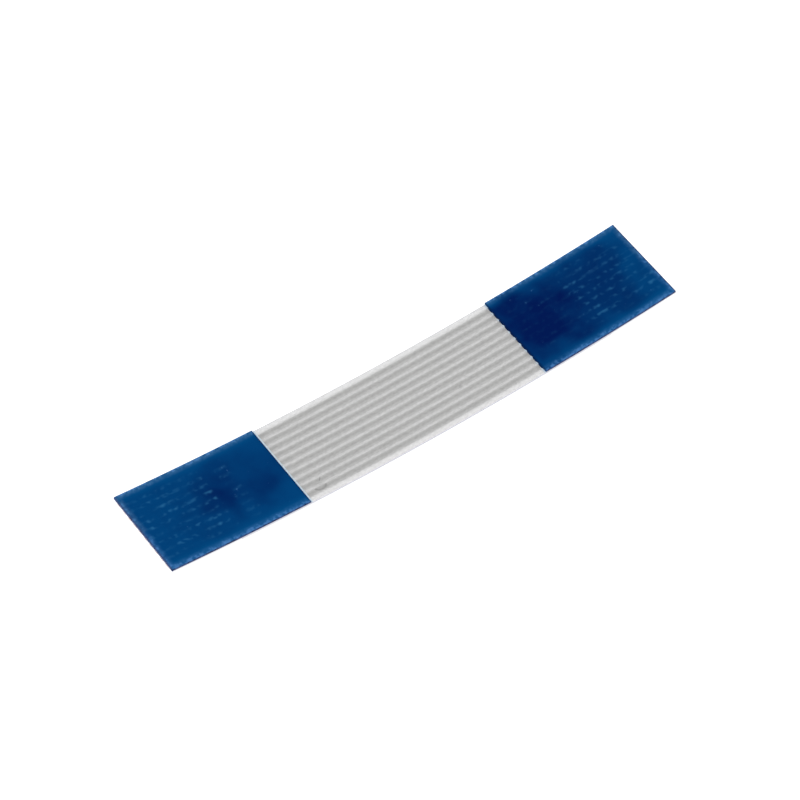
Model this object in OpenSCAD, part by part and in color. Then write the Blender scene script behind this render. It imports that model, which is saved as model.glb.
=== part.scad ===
// Flat flex cable: a row of flat copper conductors laminated between two
// insulation films. A stiffener backs each end on the upper side, and the
// lower film stops short of both ends, which leaves the contacts bare there.
// The cable lies on its curled belly: X runs along it, Y across it, Z is up,
// and the origin is where the middle of the belly meets the table.

/* [Cable] */
// Length along the cable, tip to tip
cable_length = 30; // [24:1:60]
// Number of conductors
ways = 10; // [4:1:20]
// Distance from one conductor's centre to the next
pitch = 0.5; // [0.45:0.05:1]
// Distance from an outer conductor's centre to the cable's long edge
edge_margin = 0.5; // [0.3:0.05:1]
// Radius of the lengthwise curl that the cable keeps
curl_radius = 140; // [60:5:400]

/* [Conductors] */
// Width of one rolled copper strip
conductor_width = 0.3; // [0.2:0.01:0.32]
// Thickness of one rolled copper strip
conductor_thickness = 0.05; // [0.035:0.005:0.08]
// Chamfer along the strip's rolled edges
conductor_chamfer = 0.01; // [0.004:0.002:0.014]
// Length of contact left bare on the underside of each end
contact_length = 4; // [2:0.5:6]

/* [Insulation films] */
// Thickness of one film with its adhesive, between the conductors
film_thickness = 0.055; // [0.045:0.005:0.12]
// How far the outer face of a film stands up over each conductor
rib_height = 0.01; // [0.004:0.002:0.02]
// Width of the slope down each side of a rib
rib_slope = 0.05; // [0.02:0.01:0.06]

/* [Stiffeners] */
// Length of each stiffener, from the tip of the cable
stiffener_length = 8; // [6.5:0.5:11]
// Thickness of a stiffener with its adhesive, above the ribs
stiffener_thickness = 0.11; // [0.1:0.01:0.3]

/* [Hidden] */
$fa = 0.5;
$fs = 0.1;
conductor_names = [for (i = [1:ways]) str("conductor_", i < 10 ? "0" : "", i)];

cable_width = (ways - 1) * pitch + 2 * edge_margin;
rib_crest = film_thickness + rib_height;
degrees_per_mm = 180 / (PI * curl_radius);

// Distance of conductor number i from the cable's centre line
function conductor_y(i) = (i - (ways + 1) / 2) * pitch;

// Sweeps a cross-section along the curled cable, between two distances from
// its left tip. In the section, X runs across the cable and Y is the height
// above the plane where the two films meet.
module along_cable(from, to)
    translate([0, 0, rib_crest + curl_radius])
        rotate([-90, 90 + (cable_length / 2 - to) * degrees_per_mm, 0])
            rotate_extrude(angle = (to - from) * degrees_per_mm)
                translate([curl_radius, 0])
                    rotate(90)
                        children();

// Rib that a film's outer face makes over a conductor centred at y
function rib(y) = let (w = conductor_width / 2) [
    [y - w - rib_slope, film_thickness],
    [y - w, rib_crest],
    [y + w, rib_crest],
    [y + w + rib_slope, film_thickness]
];

// Upper half of the outline of a conductor centred at y
function strip_top(y) = let (w = conductor_width / 2, h = conductor_thickness / 2, c = conductor_chamfer) [
    [y - w, h - c],
    [y - w + c, h],
    [y + w - c, h],
    [y + w, h - c]
];

// Groove in a film's inner face, in which a conductor is half sunk
function groove(y) = concat([[y - conductor_width / 2, 0]], strip_top(y), [[y + conductor_width / 2, 0]]);

ribs = [for (i = [1:ways]) each rib(conductor_y(i))];
grooves = [for (i = [1:ways]) each groove(conductor_y(i))];

function reversed(points) = [for (i = [len(points) - 1:-1:0]) points[i]];

// Full-width section between a lower and an upper outline, both from left to
// right, each with the height at which it reaches the cable's long edges
module section(lower, lower_edge, upper, upper_edge) {
    w = cable_width / 2;
    polygon(concat(
        [[-w, lower_edge]], lower, [[w, lower_edge]],
        [[w, upper_edge]], reversed(upper), [[-w, upper_edge]]
    ));
}

module film_section()
    section(grooves, 0, ribs, film_thickness);

// Carrier film on the stiffened side, as long as the cable
module top_film()
    color("whitesmoke")
        along_cable(0, cable_length)
            film_section();

// Cover film on the contact side, cut back at both ends
module bottom_film()
    color("whitesmoke")
        along_cable(contact_length, cable_length - contact_length)
            mirror([0, 1])
                film_section();

// Blue polyester backing of one end, moulded by its adhesive onto the ribs
module stiffener(from)
    color("midnightblue")
        along_cable(from, from + stiffener_length)
            section(ribs, film_thickness, [], rib_crest + stiffener_thickness);

// Tinned copper strip centred at y, bare on its lower side at both ends
module conductor(y)
    color("silver")
        along_cable(0, cable_length)
            polygon(concat(strip_top(y), [for (p = reversed(strip_top(y))) [p.x, -p.y]]));

top_film();
bottom_film();
stiffener(0);  // stiffener_left
stiffener(cable_length - stiffener_length);  // stiffener_right
for (i = [1:ways])
    conductor(conductor_y(i));
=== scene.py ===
# Flat flex cable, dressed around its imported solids: ten tinned copper strips between two milky
# films, and a blue stiffener on the upper side of each end. It lies curled on a pale floor.
import math

import bpy
from mathutils import Matrix, Vector


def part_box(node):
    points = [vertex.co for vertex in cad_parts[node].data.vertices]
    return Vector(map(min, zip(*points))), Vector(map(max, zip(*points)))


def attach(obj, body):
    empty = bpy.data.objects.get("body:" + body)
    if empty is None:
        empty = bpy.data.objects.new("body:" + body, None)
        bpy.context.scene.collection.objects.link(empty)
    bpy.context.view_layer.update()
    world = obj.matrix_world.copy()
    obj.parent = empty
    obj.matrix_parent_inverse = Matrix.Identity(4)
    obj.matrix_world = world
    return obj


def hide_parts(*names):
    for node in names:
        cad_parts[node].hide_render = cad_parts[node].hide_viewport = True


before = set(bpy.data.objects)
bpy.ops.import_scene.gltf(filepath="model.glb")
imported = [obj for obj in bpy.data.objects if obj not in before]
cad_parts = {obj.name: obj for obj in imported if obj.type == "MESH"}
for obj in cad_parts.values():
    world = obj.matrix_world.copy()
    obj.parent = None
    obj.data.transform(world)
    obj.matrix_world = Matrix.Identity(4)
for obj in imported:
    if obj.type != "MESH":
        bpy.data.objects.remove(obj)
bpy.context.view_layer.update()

mm = 0.001

# ---------------------------------------------------------------------------------------------
# Camera: a long lens that looks down on the cable from beyond its left tip and its near edge.
# It aims at the middle of the belly, which sits a little under the middle of the picture.
camera_azimuth = math.radians(-29.11)
camera_elevation = math.radians(50.9)
camera_roll = math.radians(-5.5)
camera_distance = 226.7 * mm
aim = Vector((0, 0, 0.065 * mm))

back = Vector((
    math.sin(camera_azimuth) * math.cos(camera_elevation),
    -math.cos(camera_azimuth) * math.cos(camera_elevation),
    math.sin(camera_elevation),
))
level = Vector((math.cos(camera_azimuth), math.sin(camera_azimuth), 0))
upright = back.cross(level)
right = math.cos(camera_roll) * level + math.sin(camera_roll) * upright
up = math.cos(camera_roll) * upright - math.sin(camera_roll) * level

camera = bpy.data.objects.new("camera", bpy.data.cameras.new("camera"))
camera.data.lens = 204.5
camera.data.sensor_width = 36
camera.data.shift_x = 0.0005
camera.data.shift_y = 0.006
camera.data.clip_start = 10 * mm
turned = Matrix((right, up, back)).transposed().to_4x4()
camera.matrix_world = Matrix.Translation(aim + camera_distance * back) @ turned
bpy.context.scene.collection.objects.link(camera)
bpy.context.scene.camera = camera

# ---------------------------------------------------------------------------------------------
# Conductors: rolled copper strip, plated with tin, laid side by side at an even pitch. Guillotined
# with the films, so the plating is cut through and each end shows bare copper.
conductor_names = sorted(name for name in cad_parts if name.startswith("conductor_"))
cable_length = 30 * mm
curl_radius = 140 * mm
mid_height = 0.065 * mm
conductor_thickness = 0.05 * mm
conductor_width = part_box(conductor_names[0])[1].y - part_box(conductor_names[0])[0].y
conductor_edge = 0.01 * mm
steps_per_mm = 4


def linear(hex_colour):
    """The linear colour of an sRGB hex value, with full alpha"""
    parts = [int(hex_colour[i:i + 2], 16) / 255 for i in (1, 3, 5)]
    return [c / 12.92 if c <= 0.04045 else ((c + 0.055) / 1.055) ** 2.4 for c in parts] + [1]


def add(tree, kind, inputs=(), **settings):
    """Adds a node with its settings. An input is a value, a socket, or a node (its first output)."""
    node = tree.nodes.new(kind)
    for name, value in settings.items():
        setattr(node, name, value)
    open_sockets = [socket for socket in node.inputs if socket.enabled]
    named = inputs.items() if isinstance(inputs, dict) else enumerate(inputs)
    for key, value in named:
        if isinstance(key, str):
            key = [socket.name for socket in open_sockets].index(key)
        socket = open_sockets[key]
        if isinstance(value, bpy.types.Node):
            value = next(output for output in value.outputs if output.enabled)
        if isinstance(value, bpy.types.NodeSocket):
            tree.links.new(value, socket)
        elif value is not None:
            socket.default_value = value
    return node


def new_tree(name, inputs):
    """A geometry tree with a geometry output and the named inputs, each a socket type and a first value"""
    tree = bpy.data.node_groups.new(name, "GeometryNodeTree")
    tree.interface.new_socket("Geometry", in_out="OUTPUT", socket_type="NodeSocketGeometry")
    for label, (kind, value) in inputs.items():
        socket = tree.interface.new_socket(label, in_out="INPUT", socket_type="NodeSocket" + kind)
        if value is not None:
            socket.default_value = value
    return tree, tree.nodes.new("NodeGroupInput").outputs


def grow(name, tree, values, edge=0):
    """Runs a geometry tree with the given input values, rounds its sharp edges and keeps the plain mesh"""
    seed = bpy.data.objects.new(name + "_seed", bpy.data.meshes.new(name + "_seed"))
    bpy.context.scene.collection.objects.link(seed)
    modifier = seed.modifiers.new("form", "NODES")
    modifier.node_group = tree
    sockets = {item.name: item.identifier for item in tree.interface.items_tree if item.in_out == "INPUT"}
    for label, value in values.items():
        modifier[sockets[label]] = value
    if edge:
        bevel = seed.modifiers.new("edge", "BEVEL")
        bevel.width = edge
        bevel.segments = 2
        bevel.limit_method = "ANGLE"
        bevel.angle_limit = math.radians(40)
    evaluated = seed.evaluated_get(bpy.context.evaluated_depsgraph_get())
    piece = bpy.data.objects.new(name, bpy.data.meshes.new_from_object(evaluated))
    bpy.context.scene.collection.objects.link(piece)
    bpy.data.objects.remove(seed)
    for polygon in piece.data.polygons:
        polygon.use_smooth = True
    piece.data.set_sharp_from_angle(angle=math.radians(35))
    return piece


def tinned_copper():
    """Hot-dipped tin on rolled strip: a satin grey metal with faint rolling lines along the strip"""
    material = bpy.data.materials.new("tinned_copper")
    material.use_nodes = True
    tree = material.node_tree
    shader = tree.nodes["Principled BSDF"]
    shader.inputs["Metallic"].default_value = 1
    place = add(tree, "ShaderNodeTexCoord").outputs["Object"]

    # Rolling lines, drawn coarser than they are so that they show
    lines = add(tree, "ShaderNodeMapping", {"Vector": place, "Scale": (400, 25000, 1)})
    rolling = add(tree, "ShaderNodeTexNoise", {"Vector": lines, "Scale": 1, "Detail": 3})
    blotches = add(tree, "ShaderNodeTexNoise", {"Vector": place, "Scale": 350, "Detail": 2})
    tone = add(tree, "ShaderNodeMath", [rolling, blotches], operation="MULTIPLY")
    tint = add(tree, "ShaderNodeMapRange", [tone, 0.15, 0.4, 0, 1])
    colour = add(tree, "ShaderNodeMix", {
        "Factor": tint, "A": linear("#8f8d8b"), "B": linear("#a9a7a4"),
    }, data_type="RGBA")
    tree.links.new(colour.outputs[2], shader.inputs["Base Color"])
    rough = add(tree, "ShaderNodeMapRange", [rolling, 0.3, 0.7, 0.28, 0.45])
    tree.links.new(rough.outputs[0], shader.inputs["Roughness"])
    bump = add(tree, "ShaderNodeBump", {"Strength": 0.15, "Distance": 0.002 * mm, "Height": rolling})
    tree.links.new(bump.outputs[0], shader.inputs["Normal"])
    return material


def sheared_copper():
    """Bare copper where the strip was sheared: warm and matt"""
    material = bpy.data.materials.new("sheared_copper")
    material.use_nodes = True
    tree = material.node_tree
    shader = tree.nodes["Principled BSDF"]
    shader.inputs["Metallic"].default_value = 1
    shader.inputs["Roughness"].default_value = 0.5
    place = add(tree, "ShaderNodeTexCoord").outputs["Object"]
    grain = add(tree, "ShaderNodeTexNoise", {"Vector": place, "Scale": 40000, "Detail": 2})
    colour = add(tree, "ShaderNodeMix", {
        "Factor": grain, "A": linear("#7d4a35"), "B": linear("#b87b5c"),
    }, data_type="RGBA")
    tree.links.new(colour.outputs[2], shader.inputs["Base Color"])
    return material


# Bends what lies flat, with its middle at the origin, onto the curl: X becomes an angle
curl, curl_in = new_tree("curl", {
    "Flat": ("Geometry", None),
    "Radius": ("Float", curl_radius),
    "Middle height": ("Float", mid_height),
})
flat = add(curl, "ShaderNodeSeparateXYZ", [add(curl, "GeometryNodeInputPosition")]).outputs
angle = add(curl, "ShaderNodeMath", [flat["X"], curl_in["Radius"]], operation="DIVIDE")
reach = add(curl, "ShaderNodeMath", [curl_in["Radius"], flat["Z"]], operation="SUBTRACT")
sine = add(curl, "ShaderNodeMath", [angle], operation="SINE")
cosine = add(curl, "ShaderNodeMath", [angle], operation="COSINE")
along = add(curl, "ShaderNodeMath", [reach, sine], operation="MULTIPLY")
drop = add(curl, "ShaderNodeMath", [reach, cosine], operation="MULTIPLY")
centre = add(curl, "ShaderNodeMath", [curl_in["Middle height"], curl_in["Radius"]], operation="ADD")
height = add(curl, "ShaderNodeMath", [centre, drop], operation="SUBTRACT")
curled = add(curl, "ShaderNodeCombineXYZ", [along, flat["Y"], height])
bent = add(curl, "GeometryNodeSetPosition", {"Geometry": curl_in["Flat"], "Position": curled})
add(curl, "NodeGroupOutput", [bent])

strip, strip_in = new_tree("strip", {
    "Length": ("Float", cable_length),
    "Width": ("Float", conductor_width),
    "Thickness": ("Float", conductor_thickness),
    "Across": ("Float", 0.0),
    "Steps": ("Int", 2),
    "Plating": ("Material", None),
    "Cut end": ("Material", None),
})
size = add(strip, "ShaderNodeCombineXYZ", [strip_in["Length"], strip_in["Width"], strip_in["Thickness"]])
bar = add(strip, "GeometryNodeMeshCube", {"Size": size, "Vertices X": strip_in["Steps"]})
shift = add(strip, "ShaderNodeCombineXYZ", [0, strip_in["Across"], 0])
placed = add(strip, "GeometryNodeSetPosition", {"Geometry": bar, "Offset": shift})
laid = add(strip, "GeometryNodeGroup", {}, node_tree=curl)
strip.links.new(placed.outputs[0], laid.inputs["Flat"])
facing = add(strip, "ShaderNodeSeparateXYZ", [add(strip, "GeometryNodeInputNormal")])
steep = add(strip, "ShaderNodeMath", [facing.outputs["X"]], operation="ABSOLUTE")
is_end = add(strip, "FunctionNodeCompare", {"A": steep, "B": 0.5}, operation="GREATER_THAN")
plated = add(strip, "GeometryNodeSetMaterial", {"Geometry": laid, "Material": strip_in["Plating"]})
cut = add(strip, "GeometryNodeSetMaterial", {
    "Geometry": plated, "Selection": is_end, "Material": strip_in["Cut end"],
})
real = add(strip, "GeometryNodeRealizeInstances", [cut])
add(strip, "NodeGroupOutput", [real])

plating = tinned_copper()
cut_copper = sheared_copper()
for name in conductor_names:
    low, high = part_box(name)
    piece = grow(name + "_strip", strip, {
        "Length": cable_length,
        "Width": high.y - low.y,
        "Thickness": conductor_thickness,
        "Across": (low.y + high.y) / 2,
        "Steps": round(cable_length / mm * steps_per_mm) + 1,
        "Plating": plating,
        "Cut end": cut_copper,
    }, edge=conductor_edge)
    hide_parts(name)
    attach(piece, "root")

# ---------------------------------------------------------------------------------------------
# Insulation films: two milky polyester films with their adhesive, laminated over the strips. The
# rolls press each one down between the strips, so its outer face has a low rib over every strip.
# Both are slit to width after that, and the upper one bears the marks of handling, with the shade of a
# fingernail dent painted in.
film_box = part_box("top_film")
film_width = film_box[1].y - film_box[0].y
film_thickness = 0.055 * mm
rib_height = 0.01 * mm
rib_slope = 0.05 * mm
laminating_gap = 0.001 * mm
groove_wall = 0.025 * mm
pitch = (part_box(conductor_names[-1])[1].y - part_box(conductor_names[0])[1].y) / (len(conductor_names) - 1)
outer_centre = pitch * (len(conductor_names) - 1) / 2
contact_length = 4 * mm
stiffener_length = 8 * mm
inner_edge = cable_length / 2 - stiffener_length
nail_centre = (-6.06 * mm, -2.1 * mm)
nail_size = (0.3 * mm, 0.24 * mm)
nick_centre = (-5.84 * mm, -1.71 * mm)
nick_size = (0.2 * mm, 0.045 * mm)
nick_turn = math.radians(50)
smudge_centre = (3.07 * mm, -0.89 * mm)
smudge_size = (0.13 * mm, 0.15 * mm)
bare_haze = 0.6
# How opaque the film is under the painted highlight of the adhesive bead
bead_glint_haze = 0.95


def strip_distance(tree, across):
    """Distance from the middle of the nearest strip, level past the outermost strips"""
    side = add(tree, "ShaderNodeMath", [across], operation="ABSOLUTE")
    kept = add(tree, "ShaderNodeMath", [side, outer_centre + pitch / 2], operation="MINIMUM")
    from_first = add(tree, "ShaderNodeMath", [kept, pitch / 2], operation="SUBTRACT")
    return add(tree, "ShaderNodeMath", [from_first, pitch / 2], operation="PINGPONG").outputs[0]


smooth = {"interpolation_type": "SMOOTHSTEP"}


def off_spot(tree, place, centre, half_size, turn=0.0):
    """Distance from the middle of an oval spot on the cable, in half sizes: 1 at its rim"""
    oval = add(tree, "ShaderNodeMapping", {
        "Vector": place,
        "Location": (*centre, 0),
        "Rotation": (0, 0, turn),
        "Scale": (*half_size, 1),
    }, vector_type="TEXTURE")
    return add(tree, "ShaderNodeVectorMath", [oval], operation="LENGTH").outputs["Value"]


def polyester_film(name, is_upper):
    """Milky polyester, calendered to satin: its haze scatters light, and the shade of each strip below it is
    painted into its colour
    """
    material = bpy.data.materials.new(name)
    material.use_nodes = True
    tree = material.node_tree
    shader = tree.nodes["Principled BSDF"]
    shader.inputs["Alpha"].default_value = bare_haze
    shader.inputs["Roughness"].default_value = 0.38
    shader.inputs["IOR"].default_value = 1.6
    place = add(tree, "ShaderNodeTexCoord").outputs["Object"]
    at = add(tree, "ShaderNodeSeparateXYZ", [place]).outputs
    side = add(tree, "ShaderNodeMath", [at["Y"]], operation="ABSOLUTE")

    # Painted shade: darker over the strips, lighter between them, lightest in the margins past the outermost
    # ones
    nearest = strip_distance(tree, at["Y"])
    between = add(tree, "ShaderNodeMapRange", [nearest, 0, pitch / 2, 0, 1], **smooth)
    past_strips = [side, outer_centre + conductor_width / 2, outer_centre + conductor_width, 0, 1]
    margin = add(tree, "ShaderNodeMapRange", past_strips, **smooth)
    striped = add(tree, "ShaderNodeMix", {
        "Factor": between, "A": linear("#c7c7c6"), "B": linear("#e6e6e6"),
    }, data_type="RGBA")
    colour = add(tree, "ShaderNodeMix", {
        "Factor": margin, "A": striped, "B": linear("#fbfbfb"),
    }, data_type="RGBA").outputs[2]

    # Grain of the milky filler, drawn out along the film, and coarser than it is so that it shows
    drawn = add(tree, "ShaderNodeMapping", {"Vector": place, "Scale": (5500, 9000, 9000)})
    grain = add(tree, "ShaderNodeTexNoise", {"Vector": drawn, "Scale": 1, "Detail": 3})
    tone = add(tree, "ShaderNodeMapRange", [grain, 0.3, 0.7, 0.9, 1.08])

    # Over the stiffeners the films are backed with blue, which their haze only half hides
    from_middle = add(tree, "ShaderNodeMath", [at["X"]], operation="ABSOLUTE")
    onto_blue = [from_middle, inner_edge - 0.02 * mm, inner_edge + 0.1 * mm, 0, 1]
    backed = add(tree, "ShaderNodeMapRange", onto_blue)
    backing = linear("#6c92c6") if is_upper else linear("#b9c9de")
    tint = add(tree, "ShaderNodeMix", {
        "Factor": backed, "A": (1, 1, 1, 1), "B": backing,
    }, data_type="RGBA").outputs[2]
    colour = add(tree, "ShaderNodeVectorMath", [colour, tint], operation="MULTIPLY")

    if is_upper:
        # Handling marks: the dent of a fingernail, drawn as painted shade in a dark crescent and softer
        # inside it, its nick, and a faint smudge
        nail = off_spot(tree, place, nail_centre, nail_size)
        off_rim = add(tree, "ShaderNodeMath", [nail, 1], operation="SUBTRACT")
        off_rim = add(tree, "ShaderNodeMath", [off_rim], operation="ABSOLUTE")
        rim = add(tree, "ShaderNodeMapRange", [off_rim, 0.35, 0.05, 0, 1], **smooth)
        near_half = add(tree, "ShaderNodeMath", [at["Y"], nail_centre[1]], operation="LESS_THAN")
        crescent = add(tree, "ShaderNodeMath", [rim, near_half], operation="MULTIPLY")
        # Painted shade inside the fingernail's dent
        dent_shade = add(tree, "ShaderNodeMapRange", [nail, 1.2, 0.6, 0, 0.22], **smooth)
        off_nick = off_spot(tree, place, nick_centre, nick_size, nick_turn)
        nick = add(tree, "ShaderNodeMapRange", [off_nick, 1, 0.4, 0, 1], **smooth)
        off_smudge = off_spot(tree, place, smudge_centre, smudge_size)
        smudge = add(tree, "ShaderNodeMapRange", [off_smudge, 1, 0, 0, 0.6], **smooth)
        marks_and_shade = add(tree, "ShaderNodeMath", [crescent, nick], operation="MAXIMUM")
        marks_and_shade = add(tree, "ShaderNodeMath", [marks_and_shade, smudge], operation="MAXIMUM")
        marks_and_shade = add(tree, "ShaderNodeMath", [marks_and_shade, dent_shade], operation="MAXIMUM")
        dimmed = add(tree, "ShaderNodeMapRange", [marks_and_shade, 0, 1, 1, 0.72])
        tone = add(tree, "ShaderNodeMath", [dimmed, tone], operation="MULTIPLY")

        # Painted highlight: a pale line for the clear adhesive squeezed out along the foot of each stiffener
        # where it catches light, in a full line at the left one, and only in the hollows at the right one
        off_left = add(tree, "ShaderNodeMath", [at["X"], inner_edge], operation="ADD")
        off_left = add(tree, "ShaderNodeMath", [off_left], operation="ABSOLUTE")
        left_foot = add(tree, "ShaderNodeMapRange", [off_left, 0.15 * mm, 0.1 * mm, 0, 1])
        off_right = add(tree, "ShaderNodeMath", [at["X"], inner_edge], operation="SUBTRACT")
        off_right = add(tree, "ShaderNodeMath", [off_right], operation="ABSOLUTE")
        right_foot = add(tree, "ShaderNodeMapRange", [off_right, 0.09 * mm, 0.05 * mm, 0, 1])
        in_hollow = add(tree, "ShaderNodeMath", [right_foot, between], operation="MULTIPLY")
        bead = add(tree, "ShaderNodeMath", [left_foot, in_hollow], operation="MAXIMUM")
        colour = add(tree, "ShaderNodeMix", {
            "Factor": bead, "A": colour, "B": linear("#d4e8f6"),
        }, data_type="RGBA").outputs[2]
        haze = add(tree, "ShaderNodeMapRange", [bead, 0, 1, bare_haze, bead_glint_haze])
        tree.links.new(haze.outputs[0], shader.inputs["Alpha"])

    toned = add(tree, "ShaderNodeVectorMath", [colour, tone], operation="MULTIPLY")
    tree.links.new(toned.outputs[0], shader.inputs["Base Color"])
    bump = add(tree, "ShaderNodeBump", {"Strength": 0.3, "Distance": 0.002 * mm, "Height": grain})
    tree.links.new(bump.outputs[0], shader.inputs["Normal"])
    return material


def slit_polyester():
    """The slit edge of the films, paler than their faces and given a faint glow: painted light, for the
    light led through the films that leaves here
    """
    material = bpy.data.materials.new("slit_polyester")
    material.use_nodes = True
    shader = material.node_tree.nodes["Principled BSDF"]
    shader.inputs["Base Color"].default_value = linear("#f0f0fc")
    shader.inputs["Emission Color"].default_value = linear("#f0f0fc")
    shader.inputs["Emission Strength"].default_value = 0.1
    shader.inputs["Roughness"].default_value = 0.5
    shader.inputs["IOR"].default_value = 1.6
    return material


film, film_in = new_tree("ribbed_film", {
    "Length": ("Float", cable_length),
    "Width": ("Float", film_width),
    "Thickness": ("Float", film_thickness),
    "Rib": ("Float", rib_height),
    "Groove": ("Float", conductor_thickness / 2),
    "Side": ("Float", 1.0),
    "Steps": ("Int", 2),
    "Columns": ("Int", 2),
    "Film": ("Material", None),
    "Slit edge": ("Material", None),
})
size = add(film, "ShaderNodeCombineXYZ", [film_in["Length"], film_in["Width"], 1])
sheet = add(film, "GeometryNodeMeshCube", {
    "Size": size, "Vertices X": film_in["Steps"], "Vertices Y": film_in["Columns"],
})
flat = add(film, "ShaderNodeSeparateXYZ", [add(film, "GeometryNodeInputPosition")]).outputs
nearest = strip_distance(film, flat["Y"])
half_strip = conductor_width / 2
on_rib = add(film, "ShaderNodeMapRange", [nearest, half_strip + rib_slope, half_strip, 0, 1], **smooth)
in_groove = add(film, "ShaderNodeMapRange", [nearest, half_strip + groove_wall, half_strip, 0, 1], **smooth)
outer = add(film, "ShaderNodeMath", [on_rib, film_in["Rib"], film_in["Thickness"]], operation="MULTIPLY_ADD")
inner = add(film, "ShaderNodeMath", [in_groove, film_in["Groove"], laminating_gap], operation="MULTIPLY_ADD")
is_outer = add(film, "FunctionNodeCompare", {"A": flat["Z"], "B": 0.0}, operation="GREATER_THAN")
level_height = add(film, "GeometryNodeSwitch", {
    "Switch": is_outer, "False": inner, "True": outer,
}, input_type="FLOAT")
signed = add(film, "ShaderNodeMath", [level_height, film_in["Side"]], operation="MULTIPLY")
where = add(film, "ShaderNodeCombineXYZ", [flat["X"], flat["Y"], signed])
formed = add(film, "GeometryNodeSetPosition", {"Geometry": sheet, "Position": where})
laid = add(film, "GeometryNodeGroup", {}, node_tree=curl)
film.links.new(formed.outputs[0], laid.inputs["Flat"])
filmed = add(film, "GeometryNodeSetMaterial", {"Geometry": laid, "Material": film_in["Film"]})
facing = add(film, "ShaderNodeSeparateXYZ", [add(film, "GeometryNodeInputNormal")])
steep = add(film, "ShaderNodeMath", [facing.outputs["Z"]], operation="ABSOLUTE")
is_slit = add(film, "FunctionNodeCompare", {"A": steep, "B": 0.5}, operation="LESS_THAN")
slit = add(film, "GeometryNodeSetMaterial", {
    "Geometry": filmed, "Selection": is_slit, "Material": film_in["Slit edge"],
})
real = add(film, "GeometryNodeRealizeInstances", [slit])
add(film, "NodeGroupOutput", [real])

slit_edge = slit_polyester()
short_length = cable_length - 2 * contact_length
for name, side, length in (("top_film", 1.0, cable_length), ("bottom_film", -1.0, short_length)):
    piece = grow(name + "_sheet", film, {
        "Length": length,
        "Side": side,
        "Steps": round(length / mm * steps_per_mm) + 1,
        "Columns": round(film_width / groove_wall) + 1,
        "Film": polyester_film(name + "_milky_polyester", side > 0),
        "Slit edge": slit_edge,
    })
    if side < 0:
        piece.data.flip_normals()
    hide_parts(name)
    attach(piece, "root")

# ---------------------------------------------------------------------------------------------
# Stiffeners: clear blue polyester tape, hot-pressed onto the ribs at each end and sheared with the
# cable. It is darker in soft patches, has pale specks in rows between the strips, and its adhesive squeezes
# out at its edge.
stiffener_thickness = 0.11 * mm
adhesive_thickness = 0.03 * mm
squeeze_out = 0.045 * mm
sheared_edge = 0.012 * mm
loose_reach = 0.75 * mm
speck_reach = 0.17 * mm
frost_reach = 0.42 * mm
fleck_reach = 0.3 * mm
tip_line_reach = 0.15 * mm
cut_line_reach = 0.09 * mm
curl_centre = (0, 0, mid_height + curl_radius)


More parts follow.
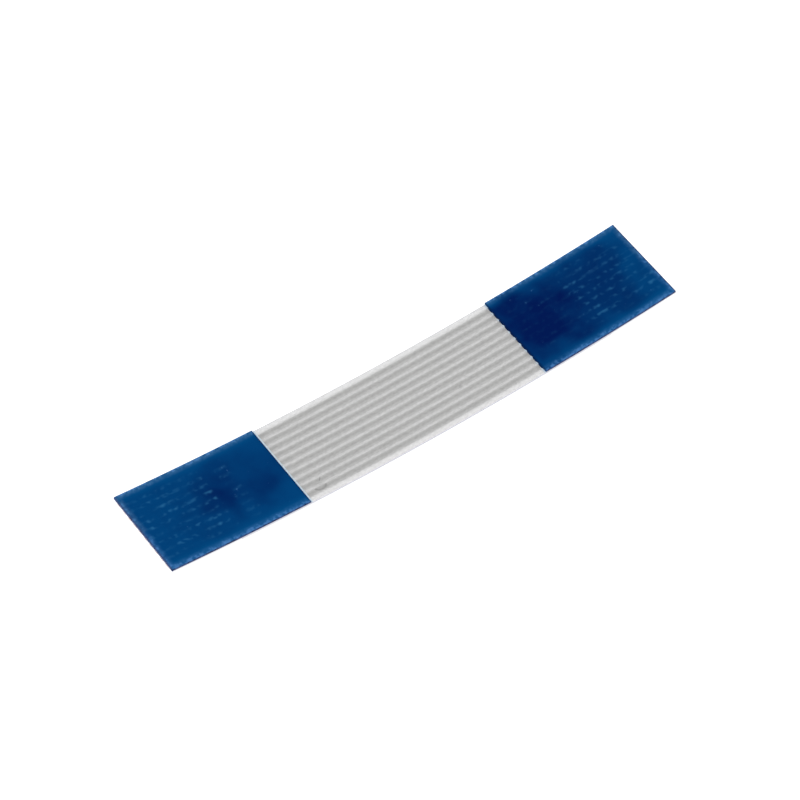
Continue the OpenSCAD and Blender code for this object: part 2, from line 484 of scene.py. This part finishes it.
def blue_polyester(name, outward, dark_patches, speck_stretches):
    """Clear blue film over its adhesive: deeper blue in soft patches, with pale specks in rows over the
    hollows between the strips
    """
    material = bpy.data.materials.new(name)
    material.use_nodes = True
    tree = material.node_tree
    shader = tree.nodes["Principled BSDF"]
    shader.inputs["Roughness"].default_value = 0.3
    shader.inputs["Specular IOR Level"].default_value = 0.01
    place = add(tree, "ShaderNodeTexCoord").outputs["Object"]
    at = add(tree, "ShaderNodeSeparateXYZ", [place]).outputs
    side = add(tree, "ShaderNodeMath", [at["Y"]], operation="ABSOLUTE")
    from_tip = add(tree, "ShaderNodeMath", [at["X"], -outward, cable_length / 2], operation="MULTIPLY_ADD")

    # Darker in the listed soft patches, with a cloudy edge
    clouds = add(tree, "ShaderNodeTexNoise", {"Vector": place, "Scale": 1500, "Detail": 2})
    darkening = add(tree, "ShaderNodeMapRange", [clouds, 0.3, 0.7, -0.08, 0.08])
    swell = add(tree, "ShaderNodeTexNoise", {"Vector": place, "Scale": 600, "Detail": 1})
    ragged = add(tree, "ShaderNodeMapRange", [swell, 0.3, 0.7, -0.25, 0.25])
    for distance, across, long, wide, core, depth in dark_patches:
        centre = (outward * (cable_length / 2 - distance * mm), across * mm)
        oval = off_spot(tree, place, centre, (long * mm, wide * mm))
        rim = add(tree, "ShaderNodeMath", [oval, ragged], operation="ADD")
        patch = add(tree, "ShaderNodeMapRange", [rim, 1, core, 0, depth], **smooth)
        darkening = add(tree, "ShaderNodeMath", [darkening, patch], operation="ADD", use_clamp=True)
    patched_blue = add(tree, "ShaderNodeMix", {
        "Factor": darkening, "A": linear("#00427a"), "B": linear("#001955"),
    }, data_type="RGBA")
    at_rim = [side, film_width / 2 - loose_reach, film_width / 2 - 0.1 * mm, 0, 1]
    loose_rim = add(tree, "ShaderNodeMapRange", at_rim, **smooth)
    undarkened = add(tree, "ShaderNodeMapRange", [darkening, 0, 1, 1, 0.3])
    loose_rim = add(tree, "ShaderNodeMath", [loose_rim, undarkened], operation="MULTIPLY")
    rimmed = add(tree, "ShaderNodeMix", {
        "Factor": loose_rim, "A": patched_blue, "B": linear("#014c84"),
    }, data_type="RGBA")

    # Pale specks in rows over the hollows between the strips
    hollow = add(tree, "ShaderNodeMath", [side, pitch / 2], operation="PINGPONG")
    in_row = add(tree, "ShaderNodeMapRange", [hollow, speck_reach, 0.02 * mm, 0, 1], **smooth)
    within = add(tree, "ShaderNodeMapRange", [side, outer_centre, outer_centre - 0.6 * mm, 0, 1])
    row = add(tree, "ShaderNodeMath", [in_row, within], operation="MULTIPLY")
    zone = 0
    for start, end, strength in speck_stretches:
        middle, half = (start + end) / 2 * mm, (end - start) / 2 * mm
        aside = add(tree, "ShaderNodeMath", [from_tip, middle], operation="SUBTRACT")
        aside = add(tree, "ShaderNodeMath", [aside], operation="ABSOLUTE")
        band = add(tree, "ShaderNodeMapRange", [aside, half + 0.1 * mm, half, 0, strength])
        zone = add(tree, "ShaderNodeMath", [zone, band], operation="MAXIMUM")
    speck_noise = add(tree, "ShaderNodeTexNoise", {"Vector": place, "Scale": 4500, "Detail": 0})
    speck = add(tree, "ShaderNodeMapRange", [speck_noise, 0.32, 0.85, 0, 1], **smooth)
    swarm = add(tree, "ShaderNodeTexNoise", {"Vector": place, "Scale": 1700, "Detail": 1})
    gathered = add(tree, "ShaderNodeMapRange", [swarm, 0.35, 0.7, 0.15, 1])
    speck_mask = add(tree, "ShaderNodeMath", [row, zone], operation="MULTIPLY")
    speck_mask = add(tree, "ShaderNodeMath", [speck_mask, speck], operation="MULTIPLY")
    speck_mask = add(tree, "ShaderNodeMath", [speck_mask, gathered], operation="MULTIPLY")
    specked = add(tree, "ShaderNodeMix", {
        "Factor": speck_mask, "A": rimmed, "B": linear("#3a86b8"),
    }, data_type="RGBA")

    # Frost and flecks whitened by the stress of the shear, thickest along the sheared edges
    inset = add(tree, "ShaderNodeMath", [film_width / 2, side], operation="SUBTRACT")
    inset = add(tree, "ShaderNodeMath", [inset, from_tip], operation="MINIMUM")
    strain = add(tree, "ShaderNodeTexNoise", {"Vector": place, "Scale": 4500, "Detail": 2})
    veil_reach = add(tree, "ShaderNodeMapRange", [inset, frost_reach, 0.02 * mm, 0, 0.8], **smooth)
    patchy = add(tree, "ShaderNodeMapRange", [strain, 0.35, 0.6, 0.35, 1])
    veil = add(tree, "ShaderNodeMath", [veil_reach, patchy], operation="MULTIPLY")
    veil = add(tree, "ShaderNodeMath", [veil, undarkened], operation="MULTIPLY")
    is_far = add(tree, "ShaderNodeMath", [at["Y"], 0], operation="GREATER_THAN")
    frost = add(tree, "ShaderNodeMix", {
        "Factor": is_far, "A": linear("#3b75af"), "B": linear("#4a7ba8"),
    }, data_type="RGBA")
    veiled = add(tree, "ShaderNodeMix", {
        "Factor": veil, "A": specked, "B": frost,
    }, data_type="RGBA")
    sheared_zone = add(tree, "ShaderNodeMapRange", [inset, fleck_reach, 0, 0, 0.4])
    stress = add(tree, "ShaderNodeMath", [strain, sheared_zone], operation="ADD")
    fleck = add(tree, "ShaderNodeMapRange", [stress, 0.72, 0.95, 0, 0.8])
    flecked = add(tree, "ShaderNodeMix", {
        "Factor": fleck, "A": veiled, "B": linear("#4c80be"),
    }, data_type="RGBA")

    # A slate line along the tip, and a deep line along the inner end, where the tape was cut to length
    tip_line = add(tree, "ShaderNodeMapRange", [from_tip, tip_line_reach, 0.07 * mm, 0, 0.85])
    tipped = add(tree, "ShaderNodeMix", {
        "Factor": tip_line, "A": flecked, "B": linear("#38486f"),
    }, data_type="RGBA")
    at_cut = [from_tip, stiffener_length - cut_line_reach, stiffener_length, 0, 0.6]
    cut_line = add(tree, "ShaderNodeMapRange", at_cut)
    lined = add(tree, "ShaderNodeMix", {
        "Factor": cut_line, "A": tipped, "B": linear("#021c44"),
    }, data_type="RGBA")
    tree.links.new(lined.outputs[2], shader.inputs["Base Color"])
    return material


def sheared_polyester():
    """The sheared edge of the blue tape: flecked with pale blue over a dark line of painted shade at the
    adhesive
    """
    material = bpy.data.materials.new("sheared_polyester")
    material.use_nodes = True
    tree = material.node_tree
    shader = tree.nodes["Principled BSDF"]
    shader.inputs["Roughness"].default_value = 0.6
    shader.inputs["Specular IOR Level"].default_value = 0.2
    place = add(tree, "ShaderNodeTexCoord").outputs["Object"]
    strain = add(tree, "ShaderNodeTexNoise", {"Vector": place, "Scale": 6000, "Detail": 3})
    fleck = add(tree, "ShaderNodeMapRange", [strain, 0.4, 0.6, 0, 1])
    flecked = add(tree, "ShaderNodeMix", {
        "Factor": fleck, "A": linear("#1e2f60"), "B": linear("#3f5f9c"),
    }, data_type="RGBA")

    # Painted shade: a dark line along its foot, at the adhesive layer, found by the distance from the centre
    # of the curl
    lengthwise = add(tree, "ShaderNodeVectorMath", [place, (1, 0, 1)], operation="MULTIPLY")
    off_centre = add(tree, "ShaderNodeVectorMath", [lengthwise, curl_centre], operation="DISTANCE")
    height = add(tree, "ShaderNodeMath", [curl_radius, off_centre.outputs["Value"]], operation="SUBTRACT")
    glue_line = [height, film_thickness + 0.03 * mm, film_thickness + 0.07 * mm, 1, 0]
    foot = add(tree, "ShaderNodeMapRange", glue_line, **smooth)
    broken = add(tree, "ShaderNodeMapRange", [strain, 0.4, 0.6, 0.9, 0.4])
    foot = add(tree, "ShaderNodeMath", [foot, broken], operation="MULTIPLY")
    colour = add(tree, "ShaderNodeMix", {
        "Factor": foot, "A": flecked, "B": linear("#1f2850"),
    }, data_type="RGBA")
    tree.links.new(colour.outputs[2], shader.inputs["Base Color"])
    return material


tape, tape_in = new_tree("stiffener_tape", {
    "Length": ("Float", stiffener_length),
    "Width": ("Float", film_width),
    "Seat": ("Float", film_thickness + laminating_gap),
    "Rib": ("Float", rib_height),
    "Adhesive": ("Float", adhesive_thickness),
    "Top": ("Float", film_thickness + rib_height + stiffener_thickness),
    "Outward": ("Float", 1.0),
    "Squeeze out": ("Float", squeeze_out),
    "Steps": ("Int", 2),
    "Columns": ("Int", 2),
    "Tape": ("Material", None),
    "Sheared": ("Material", None),
})
size = add(tape, "ShaderNodeCombineXYZ", [tape_in["Length"], tape_in["Width"], 2])
block = add(tape, "GeometryNodeMeshCube", {
    "Size": size, "Vertices X": tape_in["Steps"], "Vertices Y": tape_in["Columns"], "Vertices Z": 3,
})
flat = add(tape, "ShaderNodeSeparateXYZ", [add(tape, "GeometryNodeInputPosition")]).outputs
nearest = strip_distance(tape, flat["Y"])
on_rib = add(tape, "ShaderNodeMapRange", [nearest, half_strip + rib_slope, half_strip, 0, 1], **smooth)
foot = add(tape, "ShaderNodeMath", [on_rib, tape_in["Rib"], tape_in["Seat"]], operation="MULTIPLY_ADD")
glue_line = add(tape, "ShaderNodeMath", [foot, tape_in["Adhesive"]], operation="ADD")
is_foot = add(tape, "FunctionNodeCompare", {"A": flat["Z"], "B": -0.5}, operation="LESS_THAN")
is_top = add(tape, "FunctionNodeCompare", {"A": flat["Z"], "B": 0.5}, operation="GREATER_THAN")
lower = add(tape, "GeometryNodeSwitch", {
    "Switch": is_foot, "False": glue_line, "True": foot,
}, input_type="FLOAT")
level_height = add(tape, "GeometryNodeSwitch", {
    "Switch": is_top, "False": lower, "True": tape_in["Top"],
}, input_type="FLOAT")
outward_x = add(tape, "ShaderNodeMath", [flat["X"], tape_in["Outward"]], operation="MULTIPLY")
half_length = add(tape, "ShaderNodeMath", [tape_in["Length"], -0.499], operation="MULTIPLY")
is_inner = add(tape, "FunctionNodeCompare", {"A": outward_x, "B": half_length}, operation="LESS_THAN")
is_bead = add(tape, "FunctionNodeBooleanMath", [is_foot, is_inner], operation="AND")
bead = add(tape, "ShaderNodeMath", [on_rib, tape_in["Squeeze out"]], operation="MULTIPLY")
inward = add(tape, "ShaderNodeMath", [bead, tape_in["Outward"]], operation="MULTIPLY")
spread = add(tape, "GeometryNodeSwitch", {
    "Switch": is_bead, "False": 0.0, "True": inward,
}, input_type="FLOAT")
middle = (cable_length - stiffener_length) / 2
at_end = add(tape, "ShaderNodeMath", [tape_in["Outward"], middle, flat["X"]], operation="MULTIPLY_ADD")
pushed = add(tape, "ShaderNodeMath", [at_end, spread], operation="SUBTRACT")
where = add(tape, "ShaderNodeCombineXYZ", [pushed, flat["Y"], level_height])
formed = add(tape, "GeometryNodeSetPosition", {"Geometry": block, "Position": where})
laid = add(tape, "GeometryNodeGroup", {}, node_tree=curl)
tape.links.new(formed.outputs[0], laid.inputs["Flat"])
taped = add(tape, "GeometryNodeSetMaterial", {"Geometry": laid, "Material": tape_in["Tape"]})
facing = add(tape, "ShaderNodeSeparateXYZ", [add(tape, "GeometryNodeInputNormal")])
steep = add(tape, "ShaderNodeMath", [facing.outputs["Z"]], operation="ABSOLUTE")
is_side = add(tape, "FunctionNodeCompare", {"A": steep, "B": 0.7}, operation="LESS_THAN")
ahead = add(tape, "ShaderNodeMath", [facing.outputs["X"], tape_in["Outward"]], operation="MULTIPLY")
is_not_inner = add(tape, "FunctionNodeCompare", {"A": ahead, "B": -0.5}, operation="GREATER_THAN")
is_sheared = add(tape, "FunctionNodeBooleanMath", [is_side, is_not_inner], operation="AND")
edged = add(tape, "GeometryNodeSetMaterial", {
    "Geometry": taped, "Selection": is_sheared, "Material": tape_in["Sheared"],
})
real = add(tape, "GeometryNodeRealizeInstances", [edged])
add(tape, "NodeGroupOutput", [real])

sheared = sheared_polyester()

# Each darker patch: its place from the tip and across and its half sizes (mm), the share of its
# radius that is fully dark, and how deep it is
dark_patches = {
    "left": [
        (3.7, -0.1, 2.8, 3.4, 0, 0.36),
        (4.8, 0.1, 1.1, 2.3, 0, 0.28),
        (6.9, -0.8, 1.3, 1.9, 0, 0.36),
        (6.0, 0, 3.6, 2.7, 0.3, 0.27),
    ],
    "right": [
        (7.6, 0, 3.6, 3.1, 0.45, 0.4),
        (4.6, 0, 5.8, 3.9, 0.3, 0.6),
        (7.3, -2.6, 1.6, 0.9, 0, 0.6),
    ],
}

# Each stretch with pale specks: its start and end from the tip (mm), and how strongly they show
speck_stretches = {
    "left": [(0.15, 4.3, 0.4), (5.1, 5.7, 0.25)],
    "right": [(0.15, 4.3, 0.38), (4.3, 7.5, 0.07)],
}
for end, outward in (("left", -1.0), ("right", 1.0)):
    piece = grow("stiffener_" + end + "_tape", tape, {
        "Outward": outward,
        "Steps": round(stiffener_length / mm * steps_per_mm) + 1,
        "Columns": round(film_width / groove_wall) + 1,
        "Tape": blue_polyester("blue_polyester_" + end, outward, dark_patches[end], speck_stretches[end]),
        "Sheared": sheared,
    }, edge=sheared_edge)
    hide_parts("stiffener_" + end)
    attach(piece, "root")

# ---------------------------------------------------------------------------------------------
# Room: an even sky, white all round, and one soft lamp. The pale floor is clear from below, and lets
# the sky's light through to the cable's underside.
floor_size = 1.2
floor_drop = 0.02 * mm
floor_glow = 0.85
sky_light = 0.65
lamp_distance = 0.4


def seen_rays(tree):
    """1 for the rays that see the background: straight, mirrored or through something clear"""
    path = add(tree, "ShaderNodeLightPath").outputs
    seen = add(tree, "ShaderNodeMath", [path["Is Camera Ray"], path["Is Glossy Ray"]], operation="MAXIMUM")
    return add(tree, "ShaderNodeMath", [seen, path["Is Transmission Ray"]], operation="MAXIMUM")


floor = bpy.data.objects.new("floor", bpy.data.meshes.new("floor"))
half = floor_size / 2
corners = [(-half, -half, 0), (half, -half, 0), (half, half, 0), (-half, half, 0)]
floor.data.from_pydata(corners, [], [(0, 1, 2, 3)])
floor.location.z = -floor_drop
bpy.context.scene.collection.objects.link(floor)

paint = bpy.data.materials.new("pale_floor")
paint.use_nodes = True
tree = paint.node_tree
tree.nodes.remove(tree.nodes["Principled BSDF"])
shine = add(tree, "ShaderNodeMath", [seen_rays(tree), floor_glow], operation="MULTIPLY")
matt = add(tree, "ShaderNodeBsdfDiffuse", {"Color": linear("#d0d0d0")})
glow = add(tree, "ShaderNodeEmission", {"Color": (1, 1, 1, 1), "Strength": shine})
lit = add(tree, "ShaderNodeAddShader", [matt, glow])
from_below = add(tree, "ShaderNodeNewGeometry").outputs["Backfacing"]
diffuse_ray = add(tree, "ShaderNodeLightPath").outputs["Is Diffuse Ray"]
clear = add(tree, "ShaderNodeMath", [from_below, diffuse_ray], operation="MAXIMUM")
one_sided = add(tree, "ShaderNodeMixShader", [clear, lit, add(tree, "ShaderNodeBsdfTransparent")])
tree.links.new(one_sided.outputs[0], tree.nodes["Material Output"].inputs["Surface"])
floor.data.materials.append(paint)

world = bpy.data.worlds.new("studio")
bpy.context.scene.world = world
world.use_nodes = True
tree = world.node_tree
sky = add(tree, "ShaderNodeMapRange", [seen_rays(tree), 0, 1, sky_light, 1])
tree.nodes["Background"].inputs["Color"].default_value = (1, 1, 1, 1)
tree.links.new(sky.outputs[0], tree.nodes["Background"].inputs["Strength"])

lamp = bpy.data.objects.new("soft_lamp", bpy.data.lights.new("soft_lamp", "AREA"))
lamp.data.size = 0.25
lamp.data.energy = 0.6
lamp_direction = Vector((-0.45, 0.35, 1)).normalized()
lamp.location = lamp_distance * lamp_direction
lamp.rotation_mode = "QUATERNION"
lamp.rotation_quaternion = lamp_direction.to_track_quat("Z", "Y")
bpy.context.scene.collection.objects.link(lamp)

bpy.context.scene.view_settings.view_transform = "Standard"
